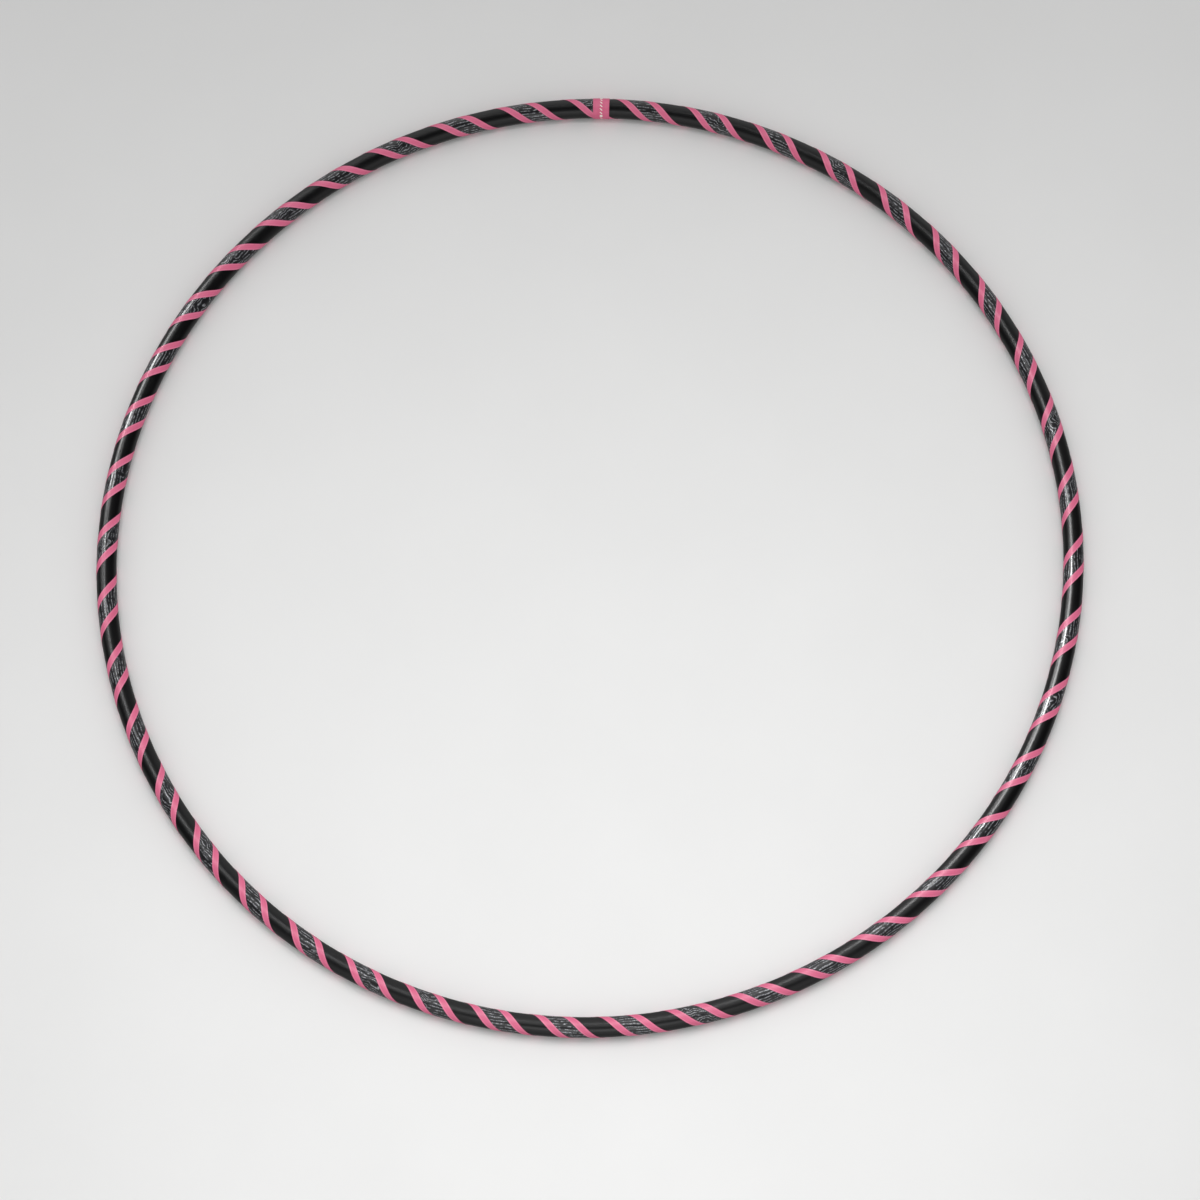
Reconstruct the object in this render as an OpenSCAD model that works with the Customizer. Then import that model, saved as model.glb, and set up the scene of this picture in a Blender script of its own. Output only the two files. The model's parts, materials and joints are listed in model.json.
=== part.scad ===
// Rhythmic hoop: a plastic tube bent into a ring, joined by a riveted plug and wrapped in a tape spiral.
// Millimetres. The ring lies flat: +Z is its axis, the floor is z = 0 and the joint is at +Y.

/* [Ring] */
// Inside diameter of the bare ring
inner_d = 900; // [700:10:1000]
// Outside diameter of the tube
tube_d = 19; // [16:0.5:22]
// Wall thickness of the tube
tube_wall = 2; // [1.8:0.1:2.4]
// Gap between the butted ends of the tube
seam_gap = 0.4; // [0.2:0.1:1]

/* [Joint] */
// Length of the plug inside the joint
plug_length = 100; // [80:5:140]
// Wall thickness of the plug
plug_wall = 2; // [1.6:0.1:2.2]
// Clearance between the plug and the tube, on the radius
plug_clearance = 0.1; // [0.05:0.05:0.2]
// Width of the band over the seam
band_w = 15.5; // [10:0.5:25]

/* [Rivets] */
// Distance of each rivet from the seam
rivet_offset = 24; // [15:1:30]
// Place of the rivets round the tube: 0 faces away from the ring's centre, 90 faces up
rivet_angle = -30; // [-90:5:40]
// Shank diameter
rivet_d = 3.2; // [2.4:0.2:3.2]
// Head diameter
rivet_head_d = 4.8; // [4.2:0.1:5.2]

/* [Tape] */
// Length of tube that one turn of the spiral covers
turn_pitch = 66; // [60:1:80]
// Width of the crackle tape
crackle_w = 12.5; // [10:0.5:15]
// Width of each pinstripe
pinstripe_w = 6; // [4:0.5:7]
// Place along the tube, from the seam, where the crackle tape first crosses the ring's outer side
first_crossing = 25.5; // [20:0.5:45]
// How much the hand-laid spiral drifts from an even pitch, as a share of the usual drift
drift_share = 1; // [0:0.25:1]
// Thickness of the crackle tape
crackle_t = 0.2; // [0.15:0.05:0.3]
// Thickness of the pinstripes and the band
stripe_t = 0.15; // [0.1:0.05:0.25]

/* [Hidden] */

// Facets in each turn of a tape, and the segments of the round parts
turn_facets = 18;
ring_segments = 360;
tube_segments = 72;
small_segments = 48;

// Distance kept between neighbouring tapes, between rivet and hole, and from one layer to the next
tape_gap = 0.1;
rivet_play = 0.03;
layer_gap = 0.02;

tube_r = tube_d / 2;
tube_bore_r = tube_r - tube_wall;
plug_r = tube_bore_r - plug_clearance;
plug_bore_r = plug_r - plug_wall;
ring_r = inner_d / 2 + tube_r;
ring_length = 2 * PI * ring_r;

// A strip that crosses the tube at the spiral's slant is this much wider along the tube than across itself.
slant = sqrt(1 + pow(turn_pitch / (2 * PI * tube_r), 2));
crackle_half = crackle_w * slant / 2;
stripe_half = pinstripe_w * slant / 2;
stripe_offset = crackle_half + tape_gap * slant + stripe_half;

// A faceted tape dips towards the tube between its corners, so its underside is held off by that much.
facet_dip = tube_r / cos(180 / turn_facets) - tube_r;
crackle_dip = pow(crackle_half, 2) / (2 * ring_r);
stripe_dip = pow(stripe_half, 2) / (2 * ring_r);
crackle_bed_r = tube_r + facet_dip + crackle_dip + layer_gap;
stripe_bed_r = tube_r + facet_dip + stripe_dip + layer_gap;
band_bore_r = max(crackle_bed_r + crackle_t, stripe_bed_r + stripe_t) + layer_gap;
band_r = band_bore_r + stripe_t;
ring_z = band_r;

// The tapes start and end this far from the seam, and their pointed ends are this wide.
tape_trim = 1;
tape_tip = 1;

// The spiral's drift is the sum of slow waves round the ring, each with its count, its size and its phase.
drift_waves = [[1, 18, -57], [2, 6.5, -145], [3, 4, 45]];

// Rivet heights, from the tube's centreline outwards
rivet_head_top = sqrt(pow(tube_r, 2) - pow(rivet_head_d / 2, 2)) - layer_gap;
rivet_head_t = 0.7;
rivet_bulb_r = 2.2;
rivet_bulb_t = 1.8;
rivet_bulb_top = sqrt(pow(plug_bore_r, 2) - pow(rivet_bulb_r, 2)) - layer_gap;
mandrel_r = 0.9;
mandrel_head_r = 1.6;
mandrel_head_t = 1.4;
mandrel_recess = 0.3;

function degrees_along(distance) = distance / ring_r * 180 / PI;

// A point on the tube: distance clockwise from the seam, angle round the tube, radius from its centreline
function on_tube(distance, angle, radius) =
  let (
    turn = 90 - degrees_along(distance),
    reach = ring_r + radius * cos(angle)
  )
  [reach * cos(turn), reach * sin(turn), ring_z + radius * sin(angle)];

// Where the middle of the tape group lies along the tube at an angle round it
function even_lay(angle) = first_crossing + turn_pitch * angle / 360;
function wave(turn, w) = w[1] * (sin(w[0] * turn + w[2]) - sin(w[2]));
function total(list, i = 0) = i < len(list) ? list[i] + total(list, i + 1) : 0;
function drift(distance) =
  let (turn = 360 * min(1, max(0, distance / ring_length)))
  drift_share * total([for (w = drift_waves) wave(turn, w)]);
function lay(angle) = even_lay(angle) + drift(even_lay(angle));
function lay_angle(distance) = (distance - first_crossing) * 360 / turn_pitch;

// Sweeps its children round the ring, from one distance clockwise of the seam to another.
module ring_sector(from, to) {
  rotate_extrude(angle = degrees_along(to - from), start = 90 - degrees_along(to), $fn = ring_segments)
    translate([ring_r, 0])
      children();
}

module pipe_section(outer_r, inner_r) {
  difference() {
    circle(outer_r, $fn = tube_segments);
    circle(inner_r, $fn = tube_segments);
  }
}

// Puts its children on the tube's centreline at each rivet, with +Z pointing out through the wall.
module at_rivets() {
  for (side = [-1, 1])
    rotate([0, 0, 90 - degrees_along(side * rivet_offset)])
      translate([ring_r, 0, ring_z])
        rotate([0, 90 - rivet_angle, 0])
          children();
}

module rivet_holes() {
  hole_r = rivet_d / 2 + rivet_play;
  sink_r = rivet_head_d / 2 + rivet_play;
  sink_bottom = rivet_head_top - rivet_head_t;
  at_rivets() {
    cylinder(h = tube_r, r = hole_r, $fn = small_segments);
    translate([0, 0, sink_bottom])
      cylinder(h = rivet_head_t, r1 = hole_r, r2 = sink_r, $fn = small_segments);
    translate([0, 0, rivet_head_top])
      cylinder(h = tube_wall, r = sink_r, $fn = small_segments);
  }
}

// One tape of the spiral: a strip whose cross lines run along the tube, trimmed square at the seam.
module spiral_tape(offset, half_width, bed_r, thickness) {
  first = tape_trim;
  last = ring_length - tape_trim;
  from = lay_angle(first + tape_tip - offset - half_width);
  to = lay_angle(last - tape_tip - offset + half_width);
  steps = ceil((to - from) * turn_facets / 360);
  top_r = bed_r + thickness;
  points = [
    for (i = [0:steps])
      let (
        angle = from + (to - from) * i / steps,
        low = max(first, lay(angle) + offset - half_width),
        high = min(last, lay(angle) + offset + half_width)
      )
      each [
        on_tube(low, angle, bed_r),
        on_tube(high, angle, bed_r),
        on_tube(high, angle, top_r),
        on_tube(low, angle, top_r)
      ]
  ];
  // Each face under or over the strip is split along its shorter diagonal, which dips least.
  walls = [
    for (i = [0:steps - 1], side = [0:3])
      let (
        a = 4 * i + side,
        b = 4 * i + (side + 1) % 4
      )
      each side < 2 ? [[a, a + 4, b], [b, a + 4, b + 4]] : [[a, b + 4, b], [a, a + 4, b + 4]]
  ];
  end = 4 * steps;
  caps = [[0, 1, 2], [0, 2, 3], [end + 2, end + 1, end], [end + 3, end + 2, end]];
  polyhedron(points, concat(walls, caps), convexity = 10);
}

module hoop_tube() {
  color([0.06, 0.06, 0.07])
    difference() {
      translate([0, 0, ring_z])
        ring_sector(seam_gap / 2, ring_length - seam_gap / 2)
          pipe_section(tube_r, tube_bore_r);
      rivet_holes();
    }
}

module connector_plug() {
  color([0.85, 0.85, 0.82])
    difference() {
      translate([0, 0, ring_z])
        ring_sector(-plug_length / 2, plug_length / 2)
          pipe_section(plug_r, plug_bore_r);
      rivet_holes();
    }
}

module rivet_bodies() {
  shank_r = rivet_d / 2;
  head_bottom = rivet_head_top - rivet_head_t;
  bulb_bottom = rivet_bulb_top - rivet_bulb_t;
  bore_r = mandrel_r + rivet_play;
  profile = [
    [bore_r, bulb_bottom],
    [rivet_bulb_r, bulb_bottom],
    [rivet_bulb_r, rivet_bulb_top],
    [shank_r, rivet_bulb_top],
    [shank_r, head_bottom],
    [rivet_head_d / 2, rivet_head_top],
    [bore_r, rivet_head_top]
  ];
  color([0.75, 0.76, 0.78])
    at_rivets()
      rotate_extrude($fn = small_segments)
        polygon(profile);
}

module rivet_mandrels() {
  head_top = rivet_bulb_top - rivet_bulb_t - layer_gap;
  stem_top = rivet_head_top - mandrel_recess;
  color([0.45, 0.45, 0.47])
    at_rivets()
      union() {
        translate([0, 0, head_top - mandrel_head_t])
          cylinder(h = mandrel_head_t, r = mandrel_head_r, $fn = small_segments);
        translate([0, 0, head_top - mandrel_head_t / 2])
          cylinder(h = stem_top - head_top + mandrel_head_t / 2, r = mandrel_r, $fn = small_segments);
      }
}

module crackle_tape() {
  color([0.22, 0.22, 0.24])
    spiral_tape(0, crackle_half, crackle_bed_r, crackle_t);
}

module pinstripe_leading() {
  color([0.90, 0.32, 0.52])
    spiral_tape(-stripe_offset, stripe_half, stripe_bed_r, stripe_t);
}

module pinstripe_trailing() {
  color([0.90, 0.32, 0.52])
    spiral_tape(stripe_offset, stripe_half, stripe_bed_r, stripe_t);
}

module joint_band() {
  color([0.88, 0.34, 0.50])
    translate([0, 0, ring_z])
      ring_sector(-band_w / 2, band_w / 2)
        pipe_section(band_r, band_bore_r);
}

hoop_tube();
connector_plug();
rivet_bodies();
rivet_mandrels();
crackle_tape();
pinstripe_leading();
pinstripe_trailing();
joint_band();
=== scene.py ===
"""A rhythmic hoop: black tube, a spiral of crackle tape between two pink pinstripes, and a pink band."""
import json
import math

import bpy
import numpy as np
from mathutils import Matrix, Vector


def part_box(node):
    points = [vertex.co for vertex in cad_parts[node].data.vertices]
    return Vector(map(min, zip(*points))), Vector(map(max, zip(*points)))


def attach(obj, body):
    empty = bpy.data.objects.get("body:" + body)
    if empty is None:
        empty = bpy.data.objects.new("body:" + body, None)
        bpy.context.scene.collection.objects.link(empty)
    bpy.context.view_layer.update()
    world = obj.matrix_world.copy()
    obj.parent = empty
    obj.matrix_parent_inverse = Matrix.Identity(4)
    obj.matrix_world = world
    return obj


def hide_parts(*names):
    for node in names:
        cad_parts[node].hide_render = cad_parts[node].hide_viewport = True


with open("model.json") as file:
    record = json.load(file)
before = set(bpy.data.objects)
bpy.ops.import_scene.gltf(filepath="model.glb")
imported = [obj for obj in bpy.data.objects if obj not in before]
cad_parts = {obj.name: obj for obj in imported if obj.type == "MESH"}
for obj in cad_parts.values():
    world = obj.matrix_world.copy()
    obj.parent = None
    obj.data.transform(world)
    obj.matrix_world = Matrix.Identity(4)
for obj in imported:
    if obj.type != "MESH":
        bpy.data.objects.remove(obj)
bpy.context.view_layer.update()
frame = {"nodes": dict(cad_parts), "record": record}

MM = 0.001

# The ring's centreline and its tube, from the mount that states the bare tube
GRIP = next(m for m in frame["record"]["mounts"] if m["name"] == "tube_grip")
TUBE_R = GRIP["dims"]["r_mm"] * MM
RING_R = -GRIP["pos_m"][1]
RING_Z = GRIP["pos_m"][2]
RING_LENGTH = 2 * math.pi * RING_R
BAND_R = (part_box("joint_band")[1].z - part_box("joint_band")[0].z) / 2
BAND_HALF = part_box("joint_band")[1].x
CENTRE = Vector((0, 0, RING_Z))

# The tube's wall and its hairline seam, at +Y
TUBE_WALL = 2 * MM
BORE_R = TUBE_R - TUBE_WALL
SEAM_GAP = 0.4 * MM

# The spiral of tape, as the CAD lays it: lengths along the tube, widths across the tape
TURN_PITCH = 66 * MM
CRACKLE_W = 12.5 * MM
STRIPE_W = 6 * MM
FIRST_CROSSING = 25.5 * MM
TAPE_GAP = 0.1 * MM
TAPE_TRIM = 1 * MM
TAPE_TIP = 1 * MM
DRIFT_WAVES = ((1, 18 * MM, -57), (2, 6.5 * MM, -145), (3, 4 * MM, 45))
CLIMB = TURN_PITCH / (2 * math.pi * TUBE_R)
SLANT = math.hypot(1, CLIMB)
STRIPE_HALF = STRIPE_W * SLANT / 2
STRIPE_OFFSET = (CRACKLE_W / 2 + TAPE_GAP) * SLANT + STRIPE_HALF

# What the hand does to it: along the tube, the stripes wander by less than a millimetre and lap the crackle
# tape's edges
WANDER_WAVES = ((2, 0.45 * MM, -65), (3, 0.4 * MM, 152), (6, 0.35 * MM, -44))
EDGE_LAP = 0.4 * MM
TAPE_LIFT = 0.02 * MM
CRACKLE_T = 0.08 * MM
STRIPE_T = 0.1 * MM
CRACKLE_BED = TUBE_R + TAPE_LIFT
STRIPE_BED = CRACKLE_BED + CRACKLE_T + TAPE_LIFT / 2


# ---------------------------------------------------------------- shapes

def waves(distance, table):
    """A sum of slow waves round the ring, each a count, a size and a phase. It is nothing at the seam."""
    turn = 2 * math.pi * np.clip(distance / RING_LENGTH, 0, 1)
    total = 0
    for count, size, phase in table:
        start = math.radians(phase)
        total = total + size * (np.sin(count * turn + start) - math.sin(start))
    return total


def lay(angle):
    """Where the middle of the tape group lies along the tube at an angle round it."""
    even = FIRST_CROSSING + TURN_PITCH * angle / (2 * math.pi)
    return even + waves(even, DRIFT_WAVES)


def on_tube(distance, angle, radius):
    """Points by distance clockwise from the seam, angle round the tube from its outer side, and radius."""
    turn = math.pi / 2 - distance / RING_R
    reach = RING_R + radius * np.cos(angle)
    return np.stack(
        (reach * np.cos(turn), reach * np.sin(turn), RING_Z + radius * np.sin(angle)),
        axis=-1,
    )


def store(mesh, name, values):
    """Keeps a vector for each vertex, for the materials to read."""
    mesh.attributes.new(name, "FLOAT_VECTOR", "POINT").data.foreach_set("vector", values.ravel())


def cell_corners(grid):
    """The four corners of each cell of a grid, in the order of the faces."""
    return np.stack((grid[:-1, :-1], grid[1:, :-1], grid[1:, 1:], grid[:-1, 1:]), axis=-1)


def bake_map(mesh, run, across, page, hidden, spare):
    """Lays a long skin out in pages of equal length, one above the other, so that a texture fits it.

    The hidden cells, and the spare corners that the caps need, lie on a line above the pages.
    """
    SHOWN, PAD = 0.97, 0.06
    pages = page.max() + 1
    run, across = cell_corners(run), cell_corners(across)
    start = np.array([run[page == p].min() for p in range(pages)])
    longest = max(run[page == p].max() - start[p] for p in range(pages))
    u = (run - start[page][..., None]) / longest
    share = (across - across.min()) / (across.max() - across.min())
    v = (page[..., None] + PAD + share * (1 - 2 * PAD)) / pages * SHOWN
    v[np.broadcast_to(hidden, page.shape)] = (1 + SHOWN) / 2
    flat = np.stack((u, v), axis=-1).reshape(-1, 2)
    flat = np.concatenate((flat, np.full((spare, 2), (1 + SHOWN) / 2)))
    mesh.uv_layers.new(name="OFBake").data.foreach_set("uv", flat.ravel())


def skin(name, distance, angle, radius, run, across, page, hidden, capped=True):
    """A closed skin over a grid whose columns go round an outline. Its rows end in caps, or join up.

    For the materials it keeps two places: on the tube pulled straight, and along and across the tape.
    """
    SHARP = math.radians(50)
    rows, columns = distance.shape[0] - 1, distance.shape[1] - 1
    # The last column repeats the first, and so does the last row where the rows join up.
    own = slice(0, rows + 1 if capped else rows), slice(0, columns)
    number = np.arange((rows + 1) * columns).reshape(rows + 1, columns)
    if not capped:
        number[-1] = number[0]
    number = np.concatenate((number, number[:, :1]), axis=1)
    faces = cell_corners(number).reshape(-1, 4).tolist()
    if capped:
        faces += [number[0, :-1].tolist(), number[-1, -2::-1].tolist()]
    mesh = bpy.data.meshes.new(name)
    mesh.from_pydata(on_tube(distance, angle, radius)[own].reshape(-1, 3).tolist(), [], faces)
    store(mesh, "straight", np.stack((distance, radius * np.cos(angle), radius * np.sin(angle)), -1)[own])
    store(mesh, "tape", np.stack((run, across, np.zeros_like(run)), -1)[own])
    bake_map(mesh, run, across, page, hidden, 2 * columns if capped else 0)
    mesh.shade_smooth()
    mesh.set_sharp_from_angle(angle=SHARP)
    piece = bpy.data.objects.new(name, mesh)
    bpy.context.scene.collection.objects.link(piece)
    return piece


def make_tube():
    """The bare tube with its bore, butted at the seam."""
    ALONG, AROUND, PAGES = 630, 60, 7
    outer = np.linspace(SEAM_GAP / 2, RING_LENGTH - SEAM_GAP / 2, ALONG + 1)
    outline = np.concatenate((outer, outer[::-1], outer[:1]))
    wall = np.concatenate((np.full(ALONG + 1, TUBE_R), np.full(ALONG + 1, BORE_R), [TUBE_R]))
    angle, distance = np.meshgrid(np.linspace(0, 2 * math.pi, AROUND + 1), outline, indexing="ij")
    radius = np.broadcast_to(wall, distance.shape)
    column = np.arange(outline.size - 1)
    page = np.broadcast_to(np.minimum(column, ALONG - 1) * PAGES // ALONG, (AROUND, column.size))
    hidden = column >= ALONG
    return skin("tube_wall", distance, angle, radius, distance, angle * TUBE_R, page, hidden, capped=False)


def make_tape(name, middle, half, bed, thickness, steps_across, pages):
    """One tape of the spiral, whose middle and half width along the tube may change from turn to turn."""
    STEPS_A_TURN, SEARCH_STEPS = 72, 20000
    first, last = TAPE_TRIM, RING_LENGTH - TAPE_TRIM
    reach = STRIPE_OFFSET + STRIPE_HALF
    per_turn = 2 * math.pi / TURN_PITCH
    search = np.linspace(-2 * reach, RING_LENGTH + 2 * reach, SEARCH_STEPS) * per_turn
    centre = lay(search) + middle(lay(search))
    low, high = centre - half(centre), centre + half(centre)
    # The tape is cut square near the seam, which leaves a point at each end, blunted to the tip's width.
    start = search[np.argmax(high > first + TAPE_TIP)]
    end = search[np.argmax(low > last - TAPE_TIP)]
    steps = math.ceil((end - start) / (2 * math.pi) * STEPS_A_TURN)
    turned = np.linspace(start, end, steps + 1)
    centre = lay(turned) + middle(lay(turned))
    low = np.maximum(first, centre - half(centre))
    high = np.minimum(last, centre + half(centre))
    share = np.linspace(0, 1, steps_across + 1)
    share = np.concatenate((share, share[::-1], share[:1]))
    height = np.repeat((bed + thickness, bed, bed + thickness), (steps_across + 1, steps_across + 1, 1))
    distance = low[:, None] + (high - low)[:, None] * share
    angle = np.broadcast_to(turned[:, None], distance.shape)
    radius = np.broadcast_to(height, distance.shape)
    off = distance - centre[:, None]
    run = angle * TUBE_R * SLANT + off * CLIMB / SLANT
    page = np.broadcast_to((np.arange(steps) * pages // steps)[:, None], (steps, share.size - 1))
    hidden = np.arange(share.size - 1) > steps_across
    return skin(name, distance, angle, radius, run, off / SLANT, page, hidden)


def wander(distance):
    """How far the hand moves each stripe away from the crackle tape's middle."""
    return waves(distance, WANDER_WAVES) / 2


def make_tapes():
    """The crackle tape and the two pinstripes that lie on its edges."""
    crackle = make_tape(
        "crackle_foil",
        lambda distance: 0 * distance,
        lambda distance: STRIPE_OFFSET - STRIPE_HALF + wander(distance) + EDGE_LAP,
        CRACKLE_BED, CRACKLE_T, steps_across=6, pages=18,
    )
    stripes = [
        make_tape(
            name,
            lambda distance: side * (STRIPE_OFFSET + wander(distance)),
            lambda distance: STRIPE_HALF + 0 * distance,
            STRIPE_BED, STRIPE_T, steps_across=4, pages=24,
        )
        for name, side in (("leading_stripe", -1), ("trailing_stripe", 1))
    ]
    return crackle, *stripes


def make_band():
    """The band over the seam: a short tape wound twice round on itself, up to the CAD band's radius."""
    STEPS, ACROSS, PAGES = 200, 10, 3
    TAPE_T, GAP, TURNS, START = 0.12 * MM, 0.005 * MM, 2.15, math.radians(150)
    layer = TAPE_T + GAP
    turned = START + np.linspace(0, 2 * math.pi * TURNS, STEPS + 1)
    bed = BAND_R - TAPE_T - layer * (TURNS - np.linspace(0, TURNS, STEPS + 1))
    share = np.linspace(-1, 1, ACROSS + 1)
    share = np.concatenate((share, share[::-1], share[:1]))
    lift = np.repeat((TAPE_T, 0, TAPE_T), (ACROSS + 1, ACROSS + 1, 1))
    distance = np.broadcast_to(BAND_HALF * share, (STEPS + 1, share.size))
    angle = np.broadcast_to(turned[:, None], distance.shape)
    radius = bed[:, None] + lift
    page = np.broadcast_to((np.arange(STEPS) * PAGES // STEPS)[:, None], (STEPS, share.size - 1))
    hidden = np.arange(share.size - 1) > ACROSS
    return skin("seam_band", distance, angle, radius, angle * BAND_R, distance, page, hidden)


# ---------------------------------------------------------------- materials

def add(tree, kind, inputs=None, **settings):
    """Adds a node, sets its properties, and gives its inputs a value each or another node's output."""
    node = tree.nodes.new("ShaderNode" + kind)
    for key, value in settings.items():
        setattr(node, key, value)
    for key, value in (inputs or {}).items():
        if isinstance(value, bpy.types.NodeSocket):
            tree.links.new(value, node.inputs[key])
        else:
            node.inputs[key].default_value = value
    return node


def math_node(tree, operation, *values, clamp=False):
    return add(tree, "Math", dict(enumerate(values)), operation=operation, use_clamp=clamp).outputs[0]


def kept(tree, name):
    """A vector that the mesh keeps for each vertex, in metres."""
    return add(tree, "Attribute", attribute_name=name).outputs["Vector"]


def stretched(tree, vector, x, y, z):
    """The vector with its axes scaled, in features per metre."""
    return add(tree, "VectorMath", {0: vector, 1: (x, y, z)}, operation="MULTIPLY").outputs[0]


def noise(tree, vector, scale=1.0, *, detail, roughness=0.5):
    inputs = {"Vector": vector, "Scale": scale, "Detail": detail, "Roughness": roughness}
    return add(tree, "TexNoise", inputs)


def ramp(tree, value, low, high, to_low=0.0, to_high=1.0):
    """Maps a value from one range to another, smoothly, and holds it there."""
    inputs = {"Value": value, "From Min": low, "From Max": high, "To Min": to_low, "To Max": to_high}
    return add(tree, "MapRange", inputs, interpolation_type="SMOOTHSTEP").outputs["Result"]


def mix(tree, share, first, second):
    """A colour between two."""
    node = add(tree, "Mix", {0: share, 6: first, 7: second}, data_type="RGBA")
    return node.outputs[2]


def bump(tree, height, distance, strength, normal=None):
    inputs = {"Height": height, "Distance": distance, "Strength": strength}
    if normal is not None:
        inputs["Normal"] = normal
    return add(tree, "Bump", inputs).outputs[0]


def start_material(name):
    """A material with an empty tree."""
    material = bpy.data.materials.new(name)
    material.use_nodes = True
    material.node_tree.nodes.clear()
    return material, material.node_tree


def finish_material(material, **inputs):
    """Gives the material its one shader. An underscore in a name stands for a space."""
    tree = material.node_tree
    shader = add(tree, "BsdfPrincipled", {key.replace("_", " "): value for key, value in inputs.items()})
    add(tree, "OutputMaterial", {"Surface": shader.outputs[0]})
    return material


def tube_material():
    """Glossy black polyethylene with faint draw lines along it, and the dull rubs of use."""
    material, tree = start_material("tube_black")
    straight = kept(tree, "straight")
    lines = noise(tree, stretched(tree, straight, 3, 1100, 1100), detail=3).outputs[0]
    ripple = noise(tree, stretched(tree, straight, 45, 160, 160), detail=1).outputs[0]
    rubbed = noise(tree, stretched(tree, straight, 40, 90, 90), detail=4, roughness=0.6).outputs[0]
    scratch = noise(tree, stretched(tree, straight, 90, 1900, 1900), detail=2).outputs[0]
    rub = ramp(tree, rubbed, 0.52, 0.75)
    scratched = math_node(tree, "MULTIPLY", ramp(tree, scratch, 0.64, 0.72), ramp(tree, rubbed, 0.45, 0.6))
    tone = mix(tree, rub, (0.0012, 0.0012, 0.0015, 1), (0.003, 0.003, 0.0034, 1))
    tone = mix(tree, math_node(tree, "MULTIPLY", scratched, 0.5), tone, (0.014, 0.014, 0.015, 1))
    rough = ramp(tree, rub, 0, 1, 0.34, 0.42)
    rough = math_node(tree, "ADD", rough, math_node(tree, "MULTIPLY", scratched, 0.12))
    relief = bump(tree, lines, 0.004 * MM, 0.5)
    relief = bump(tree, ripple, 0.015 * MM, 0.3, relief)
    return finish_material(
        material, Base_Color=tone, Roughness=rough, Normal=relief, Coat_Weight=0.3, Coat_Roughness=0.26,
    )


def wavy_lines(tree, place, field, swing, spacing):
    """Thin lines at an even spacing, which a field pushes to and fro: 1 on a line, 0 between two."""
    CORE, RIM = 0.07, 0.22
    pushed = math_node(tree, "ADD", place, math_node(tree, "MULTIPLY", field, swing))
    step = math_node(tree, "FRACT", math_node(tree, "DIVIDE", pushed, spacing))
    return ramp(tree, math_node(tree, "ABSOLUTE", math_node(tree, "SUBTRACT", step, 0.5)), RIM, CORE)


def crackle_material():
    """Dark foil under a clear face, with wavy silver lines: long ones along the tube, and scribbles."""
    SPACING, LONG_WAVE, FREE_WAVE = 2.8 * MM, 6 * MM, 18 * MM
    material, tree = start_material("crackle_foil")
    straight = kept(tree, "straight")
    tape = add(tree, "SeparateXYZ", {0: kept(tree, "tape")}).outputs
    around = math_node(tree, "SUBTRACT", tape["X"], math_node(tree, "MULTIPLY", tape["Y"], CLIMB))
    around = math_node(tree, "DIVIDE", around, SLANT)
    long_field = noise(tree, stretched(tree, straight, 50, 90, 90), detail=2.3, roughness=0.55).outputs[0]
    free_field = noise(tree, stretched(tree, straight, 80, 80, 80), detail=1.4).outputs[0]
    long_line = wavy_lines(tree, around, long_field, LONG_WAVE, SPACING)
    free_line = wavy_lines(tree, around, free_field, FREE_WAVE, SPACING)
    loose = noise(tree, straight, 14, detail=0).outputs[0]
    breaks = ramp(tree, noise(tree, straight, 230, detail=1).outputs[0], 0.34, 0.56)
    line = mix(tree, ramp(tree, loose, 0.5, 0.56), long_line, free_line)
    silver = math_node(tree, "MULTIPLY", line, breaks)
    glint = noise(tree, straight, 900, detail=0).outputs[0]
    tone = mix(tree, glint, (0.003, 0.003, 0.004, 1), (0.012, 0.012, 0.015, 1))
    bright = mix(tree, ramp(tree, glint, 0.35, 0.65), (0.13, 0.135, 0.15, 1), (0.42, 0.425, 0.45, 1))
    tone = mix(tree, silver, tone, bright)
    metal = ramp(tree, silver, 0, 1, 0.0, 0.4)
    rough = ramp(tree, glint, 0.3, 0.7, 0.28, 0.45)
    relief = bump(tree, silver, 0.1 * MM, 0.6)
    relief = bump(tree, glint, 0.03 * MM, 0.5, relief)
    return finish_material(
        material, Base_Color=tone, Metallic=metal, Roughness=rough, Normal=relief,
        Coat_Weight=0.9, Coat_Roughness=0.15, Coat_IOR=1.5,
    )


def vinyl(tree):
    """The pink of the vinyl tapes, its roughness and its relief, with stretch lines along the tape."""
    tape = kept(tree, "tape")
    cloud = noise(tree, stretched(tree, tape, 30, 160, 1), detail=2).outputs[0]
    stretch = noise(tree, stretched(tree, tape, 60, 1300, 1), detail=2).outputs[0]
    grain = noise(tree, stretched(tree, tape, 2400, 2400, 1), detail=1).outputs[0]
    tone = mix(tree, ramp(tree, cloud, 0.3, 0.7), (0.70, 0.128, 0.245, 1), (0.74, 0.148, 0.275, 1))
    tone = mix(tree, ramp(tree, stretch, 0.62, 0.8, 0, 0.35), tone, (0.80, 0.28, 0.42, 1))
    rough = ramp(tree, cloud, 0.3, 0.7, 0.36, 0.44)
    relief = bump(tree, grain, 0.01 * MM, 0.5)
    relief = bump(tree, stretch, 0.02 * MM, 0.5, relief)
    return tone, rough, relief


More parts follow.
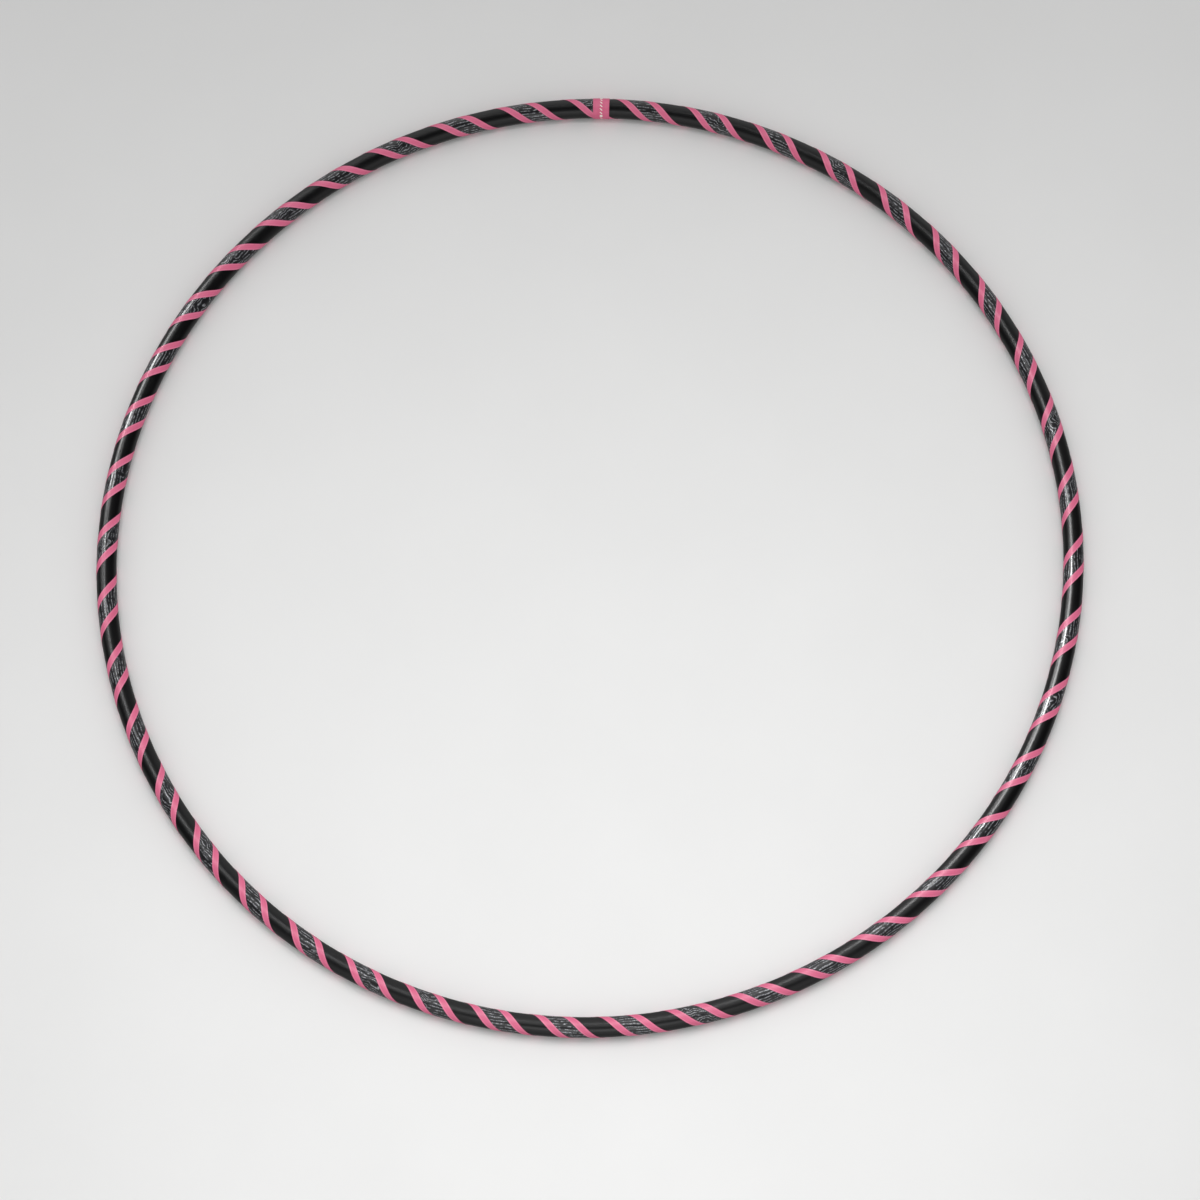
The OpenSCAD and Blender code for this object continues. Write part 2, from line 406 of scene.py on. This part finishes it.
def stripe_material():
    """Pink vinyl, paler where it is stretched thin by the edges, with a dark hairline of dirt and painted
    shade along both.
    """
    EDGE, RIM_START, RIM_END, SHADE_AND_DIRT = STRIPE_W / 2, 1.4 * MM, 0.7 * MM, 0.25 * MM
    material, tree = start_material("pinstripe_vinyl")
    tone, rough, relief = vinyl(tree)
    across = add(tree, "SeparateXYZ", {0: kept(tree, "tape")}).outputs["Y"]
    off = math_node(tree, "ABSOLUTE", across)
    rim = ramp(tree, off, EDGE - RIM_START, EDGE - RIM_END, 0, 0.4)
    # The dark hairline along each edge is partly dirt and partly painted shade where the tape steps down to
    # what lies under it.
    shade_and_dirt = ramp(tree, off, EDGE - SHADE_AND_DIRT, EDGE, 0, 0.6)
    tone = mix(tree, rim, tone, (0.86, 0.27, 0.42, 1))
    tone = mix(tree, shade_and_dirt, tone, (0.35, 0.03, 0.1, 1))
    return finish_material(material, Base_Color=tone, Roughness=rough, Normal=relief)


def band_material():
    """The same vinyl with a plain column of pale dots and slanted dashes printed round it."""
    # The first dot is in the band's third turn, near the ring's inner side.
    SPACING, GROUP, FIRST_DOT = 3.6 * MM, 6, math.radians(2 * 360 + 159)
    DOT_R, DASH_HALF_W, DASH_HALF_H, DASH_LEAN = 1.6 * MM, 0.7 * MM, 1.1 * MM, 0.9
    SOFT = 0.15 * MM
    material, tree = start_material("band_vinyl")
    tone, rough, relief = vinyl(tree)
    tape = add(tree, "SeparateXYZ", {0: kept(tree, "tape")}).outputs
    past = math_node(tree, "SUBTRACT", tape["X"], FIRST_DOT * BAND_R)
    place = math_node(tree, "ADD", math_node(tree, "DIVIDE", past, SPACING), 0.5)
    cell = math_node(tree, "FLOOR", place)
    down = math_node(tree, "SUBTRACT", math_node(tree, "FRACT", place), 0.5)
    down = math_node(tree, "MULTIPLY", down, SPACING)
    across = tape["Y"]
    is_dot = math_node(tree, "LESS_THAN", math_node(tree, "FLOORED_MODULO", cell, GROUP), 0.5)
    square = math_node(tree, "POWER", across, 2.0)
    square = math_node(tree, "ADD", square, math_node(tree, "POWER", down, 2.0))
    dot = ramp(tree, math_node(tree, "SQRT", square), DOT_R, DOT_R - SOFT)
    lean = math_node(tree, "SUBTRACT", across, math_node(tree, "MULTIPLY", down, DASH_LEAN))
    dash = math_node(
        tree, "MULTIPLY",
        ramp(tree, math_node(tree, "ABSOLUTE", lean), DASH_HALF_W, DASH_HALF_W - SOFT),
        ramp(tree, math_node(tree, "ABSOLUTE", down), DASH_HALF_H, DASH_HALF_H - SOFT),
    )
    shown_dot = math_node(tree, "MULTIPLY", is_dot, dot)
    shown_dash = math_node(tree, "MULTIPLY", math_node(tree, "SUBTRACT", 1.0, is_dot), dash)
    mark = math_node(tree, "ADD", shown_dot, shown_dash, clamp=True)
    tone = mix(tree, mark, tone, (0.92, 0.89, 0.78, 1))
    return finish_material(material, Base_Color=tone, Roughness=rough, Normal=relief)


def plug_material():
    """Natural polyethylene, cloudy, with draw lines."""
    material, tree = start_material("plug_natural")
    place = add(tree, "TexCoord").outputs["Object"]
    cloud = noise(tree, place, 60, detail=3).outputs[0]
    lines = noise(tree, stretched(tree, place, 20, 1500, 1500), detail=2).outputs[0]
    tone = mix(tree, cloud, (0.66, 0.66, 0.61, 1), (0.78, 0.78, 0.74, 1))
    return finish_material(
        material, Base_Color=tone, Roughness=ramp(tree, cloud, 0.3, 0.7, 0.42, 0.55),
        Normal=bump(tree, lines, 0.02 * MM, 0.5),
        Subsurface_Weight=0.1, Subsurface_Radius=(3 * MM, 3 * MM, 3 * MM),
    )


def metal_material(name, dark, light, smooth, rough):
    """Drawn or turned metal with small bright and dull patches."""
    material, tree = start_material(name)
    place = add(tree, "TexCoord").outputs["Object"]
    patch = noise(tree, place, 900, detail=3).outputs[0]
    grain = noise(tree, place, 5000, detail=2).outputs[0]
    return finish_material(
        material, Base_Color=mix(tree, patch, dark, light), Metallic=1.0,
        Roughness=ramp(tree, patch, 0.3, 0.7, smooth, rough), Normal=bump(tree, grain, 0.01 * MM, 0.4),
    )


def paint(piece, material):
    """One material all over the piece."""
    piece.data.materials.clear()
    piece.data.materials.append(material)


# ---------------------------------------------------------------- the pieces

def dress(piece, node, material):
    """The piece stands for its CAD node, rides with the ring and takes that slot's finish."""
    paint(piece, material)
    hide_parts(node)
    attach(piece, "root")


def make_hoop():
    """Every piece: finer skins for what shows, and new finishes for the plug and rivets inside."""
    crackle, leading, trailing = make_tapes()
    pink = stripe_material()
    dress(make_tube(), "hoop_tube", tube_material())
    dress(crackle, "crackle_tape", crackle_material())
    dress(leading, "pinstripe_leading", pink)
    dress(trailing, "pinstripe_trailing", pink)
    dress(make_band(), "joint_band", band_material())
    paint(frame["nodes"]["connector_plug"], plug_material())
    aluminium = metal_material("rivet_aluminium", (0.62, 0.63, 0.65, 1), (0.82, 0.83, 0.85, 1), 0.25, 0.4)
    steel = metal_material("mandrel_steel", (0.28, 0.28, 0.29, 1), (0.45, 0.45, 0.46, 1), 0.35, 0.55)
    paint(frame["nodes"]["rivet_bodies"], aluminium)
    paint(frame["nodes"]["rivet_mandrels"], steel)


# ---------------------------------------------------------------- the studio

def floor_material():
    """Pale matt board with a very faint mottle."""
    material, tree = start_material("studio_floor")
    place = add(tree, "TexCoord").outputs["Object"]
    mottle = noise(tree, place, 7, detail=4).outputs[0]
    tone = mix(tree, mottle, (0.78, 0.78, 0.775, 1), (0.82, 0.82, 0.815, 1))
    return finish_material(material, Base_Color=tone, Roughness=0.85, Specular_IOR_Level=0.2)


def make_floor():
    """A wide round floor under the ring, which the glossy pieces don't mirror."""
    RADIUS, SIDES = 12, 96
    turns = [2 * math.pi * side / SIDES for side in range(SIDES)]
    mesh = bpy.data.meshes.new("floor")
    rim = [(RADIUS * math.cos(turn), RADIUS * math.sin(turn), 0) for turn in turns]
    mesh.from_pydata(rim, [], [list(range(SIDES))])
    floor = bpy.data.objects.new("floor", mesh)
    bpy.context.scene.collection.objects.link(floor)
    paint(floor, floor_material())
    floor.visible_glossy = False


def softbox(name, place, target, width, height, power, spread, shows=False):
    """A rectangular light that faces a point. It lights what is matt, or else it shows in what is glossy."""
    lamp = bpy.data.lights.new(name, "AREA")
    lamp.shape = "RECTANGLE"
    lamp.size = width
    lamp.size_y = height
    lamp.energy = power
    lamp.spread = math.radians(spread)
    light = bpy.data.objects.new(name, lamp)
    light.location = place
    light.rotation_euler = (Vector(target) - Vector(place)).to_track_quat("-Z", "Y").to_euler()
    light.visible_glossy = shows
    light.visible_diffuse = not shows
    light.visible_camera = False
    bpy.context.scene.collection.objects.link(light)


def make_room():
    """Pale to the eye and to what is matt. Gloss mirrors a dim room, brighter at +Y, at -Y and below."""
    DIM, ENDS, LOW = (0.02, 0.02, 0.022, 1), (0.5, 0.5, 0.5, 1), (0.25, 0.25, 0.25, 1)
    AMBIENT, BACKDROP = (0.66, 0.66, 0.66, 1), (0.535, 0.535, 0.532, 1)
    world = bpy.data.worlds.new("studio")
    world.use_nodes = True
    tree = world.node_tree
    tree.nodes.clear()
    way = add(tree, "SeparateXYZ", {0: add(tree, "TexCoord").outputs["Generated"]}).outputs
    room = mix(tree, ramp(tree, math_node(tree, "ABSOLUTE", way["Y"]), 0.45, 0.8), DIM, ENDS)
    room = mix(tree, ramp(tree, way["Z"], 0.0, -0.3), room, LOW)
    ray = add(tree, "LightPath").outputs
    tone = mix(tree, ray["Is Glossy Ray"], AMBIENT, room)
    tone = mix(tree, ray["Is Camera Ray"], tone, BACKDROP)
    add(tree, "OutputWorld", {"Surface": add(tree, "Background", {"Color": tone}).outputs[0]})
    bpy.context.scene.world = world


def make_lights():
    """One soft light from overhead for what is matt, and four that only show as highlights on the gloss."""
    softbox("overhead", (0.03, -0.1, 1.8), (0.05, -0.65, 0), 1.6, 1.6, 4.3, 64)
    softbox("highlight_left", (-2.3, 1.69, 1.78), (-0.44, 0.16, 0.01), 2.2, 1.1, 3.1, 24, shows=True)
    softbox("highlight_right", (-0.73, 1.11, 2.47), (0.44, -0.15, 0.01), 2.2, 0.8, 3.4, 24, shows=True)
    softbox("front_card", (0, -1.2, 0.7), (0, -0.46, 0), 1.6, 0.9, 0.35, 40, shows=True)
    softbox("top_card", (0, -0.3, 0.9), (0, -0.3, 0), 1.6, 0.7, 0.3, 60, shows=True)


def make_camera():
    """A long lens, high over the -Y side of the ring and a little rolled."""
    AZIMUTH, ELEVATION, ROLL = math.radians(7.6), math.radians(72.1), math.radians(-6.35)
    DISTANCE, LENS, SENSOR = 4.387, 138.5, 36
    RIGHT_OF_CENTRE, BELOW_CENTRE = 11 * MM, 44.3 * MM
    back = Vector((
        math.sin(AZIMUTH) * math.cos(ELEVATION),
        -math.cos(AZIMUTH) * math.cos(ELEVATION),
        math.sin(ELEVATION),
    ))
    level = Vector((0, 0, 1)).cross(back).normalized()
    right = Matrix.Rotation(-ROLL, 3, -back) @ level
    up = back.cross(right)
    lens = bpy.data.cameras.new("camera")
    lens.lens = LENS
    lens.sensor_width = SENSOR
    camera = bpy.data.objects.new("camera", lens)
    camera.location = CENTRE + RIGHT_OF_CENTRE * right - BELOW_CENTRE * up + DISTANCE * back
    camera.rotation_euler = Matrix((right, up, back)).transposed().to_euler()
    bpy.context.scene.collection.objects.link(camera)
    bpy.context.scene.camera = camera


def make_studio():
    """All that isn't the hoop."""
    make_floor()
    make_room()
    make_lights()
    make_camera()
    bpy.context.scene.view_settings.view_transform = "Standard"


make_hoop()
make_studio()
